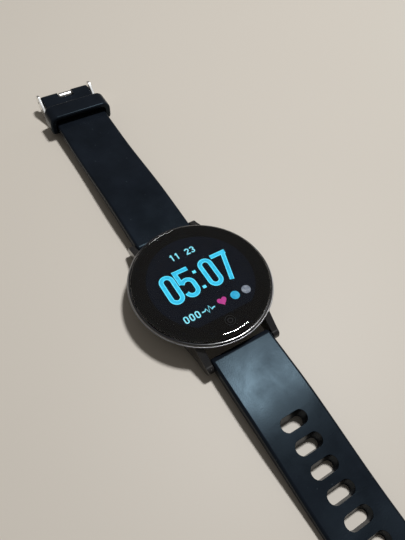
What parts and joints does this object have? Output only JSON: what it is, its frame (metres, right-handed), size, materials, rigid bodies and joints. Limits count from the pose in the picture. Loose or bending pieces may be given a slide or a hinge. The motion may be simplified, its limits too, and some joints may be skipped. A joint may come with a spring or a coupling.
{
  "type": "smartwatch",
  "caption": "Round smartwatch with a domed-edge glass, a flat touch key, four lugs on spring bars, a slotted silicone strap, keeper loop and folding pin buckle.",
  "frame": {"origin": "centre of the sensor window's outer face, in the middle of the case back, which rests on the table", "axes": "+Z out of the display, +Y to 12 o'clock along the short strap, +X to 3 o'clock"},
  "size_m": [0.0439, 0.2477, 0.0102],
  "materials": {
    "case_black": "gloss black moulded case",
    "bezel_black": "polished dark chamfered ring",
    "cover_glass": "clear 2.5D cover glass with a black printed border",
    "adhesive": "matt",
    "display": "dark navy display",
    "backlight": "white reflector frame",
    "flex_circuit": "amber polyimide",
    "inner_plastic": "matt dark grey",
    "circuit_board": "green solder mask",
    "chip_package": "matt black epoxy",
    "metal_can": "bare metal",
    "connector": "ivory",
    "battery_foil": "satin foil pouch",
    "foam": "black foam tape",
    "tungsten": "sintered",
    "led": "green emitter",
    "sensor_window": "dark optical window",
    "gold_contact": "gold plated",
    "cover_plastic": "satin black moulded cover",
    "gasket": "orange silicone",
    "steel": "polished stainless steel",
    "screw_black": "blackened",
    "strap_silicone": "satin charcoal silicone"
  },
  "bodies": {
    "case": {"case_body": "case_black", "bezel_ring": "bezel_black", "front_glass": "cover_glass", "glass_adhesive": "adhesive", "display_panel": "display", "backlight_unit": "backlight", "display_flex": "flex_circuit", "touch_key_sensor": "flex_circuit", "mid_frame": "inner_plastic", "main_board": "circuit_board", "microcontroller": "chip_package", "flash_memory": "chip_package", "power_chip": "chip_package", "motion_sensor": "chip_package", "clock_crystal": "metal_can", "chip_antenna": "connector", "display_connector": "connector", "battery": "battery_foil", "battery_pad": "foam", "battery_ribbon": "flex_circuit", "battery_connector": "connector", "motor_can": "metal_can", "motor_shaft": "metal_can", "sensor_board": "circuit_board", "green_leds": "led", "photodiode": "chip_package", "light_shield": "chip_package", "sensor_connector": "connector", "sensor_window": "sensor_window", "charging_contacts": "gold_contact", "charging_magnets": "metal_can", "rear_cover": "cover_plastic", "rear_screws": "screw_black", "case_gasket": "gasket", "spring_bar_12": "steel", "spring_bar_6": "steel", "bar_spring_12": "steel", "bar_spring_6": "steel"},
    "motor_rotor": {"motor_weight": "tungsten"},
    "plunger_12_left": {"plunger_12_left": "steel"},
    "plunger_12_right": {"plunger_12_right": "steel"},
    "plunger_6_left": {"plunger_6_left": "steel"},
    "plunger_6_right": {"plunger_6_right": "steel"},
    "strap_short": {"strap_short": "strap_silicone"},
    "strap_long": {"strap_long": "strap_silicone"},
    "strap_keeper": {"strap_keeper": "strap_silicone"},
    "buckle": {"buckle_frame": "steel", "buckle_bar": "steel"},
    "tang": {"buckle_tang": "steel"}
  },
  "joints": [
    {"name": "strap_short_hinge", "type": "hinge", "parent": "case", "child": "strap_short", "pos_m": [0, 0.0232, 0.0033], "axis": [1, 0, 0], "range_deg": [-80, 40]},
    {"name": "strap_long_hinge", "type": "hinge", "parent": "case", "child": "strap_long", "pos_m": [0, -0.0232, 0.0033], "axis": [-1, 0, 0], "range_deg": [-80, 40]},
    {"name": "keeper_slide", "type": "slide", "parent": "strap_short", "child": "strap_keeper", "axis": [0, -0.999, -0.0436], "range_m": [0, 0.035]},
    {"name": "buckle_hinge", "type": "hinge", "parent": "strap_short", "child": "buckle", "pos_m": [0, 0.1067, 0.00509], "axis": [1, 0, 0], "range_deg": [0, 185]},
    {"name": "tang_hinge", "type": "hinge", "parent": "buckle", "child": "tang", "pos_m": [0, 0.1067, 0.00509], "axis": [1, 0, 0], "range_deg": [0, 80]},
    {"name": "plunger_12_left_press", "type": "slide", "parent": "case", "child": "plunger_12_left", "axis": [1, 0, 0], "range_m": [0, 0.0013], "stiffness_N_per_m": 400, "springref_m": -0.002, "deforming": ["bar_spring_12"]},
    {"name": "plunger_12_right_press", "type": "slide", "parent": "case", "child": "plunger_12_right", "axis": [-1, 0, 0], "range_m": [0, 0.0013], "stiffness_N_per_m": 400, "springref_m": -0.002, "deforming": ["bar_spring_12"]},
    {"name": "plunger_6_left_press", "type": "slide", "parent": "case", "child": "plunger_6_left", "axis": [1, 0, 0], "range_m": [0, 0.0013], "stiffness_N_per_m": 400, "springref_m": -0.002, "deforming": ["bar_spring_6"]},
    {"name": "plunger_6_right_press", "type": "slide", "parent": "case", "child": "plunger_6_right", "axis": [-1, 0, 0], "range_m": [0, 0.0013], "stiffness_N_per_m": 400, "springref_m": -0.002, "deforming": ["bar_spring_6"]},
    {"name": "motor_spin", "type": "hinge", "parent": "case", "child": "motor_rotor", "pos_m": [0.0062, -0.01062, 0.0044], "axis": [0, 0, 1], "continuous": true}
  ]
}
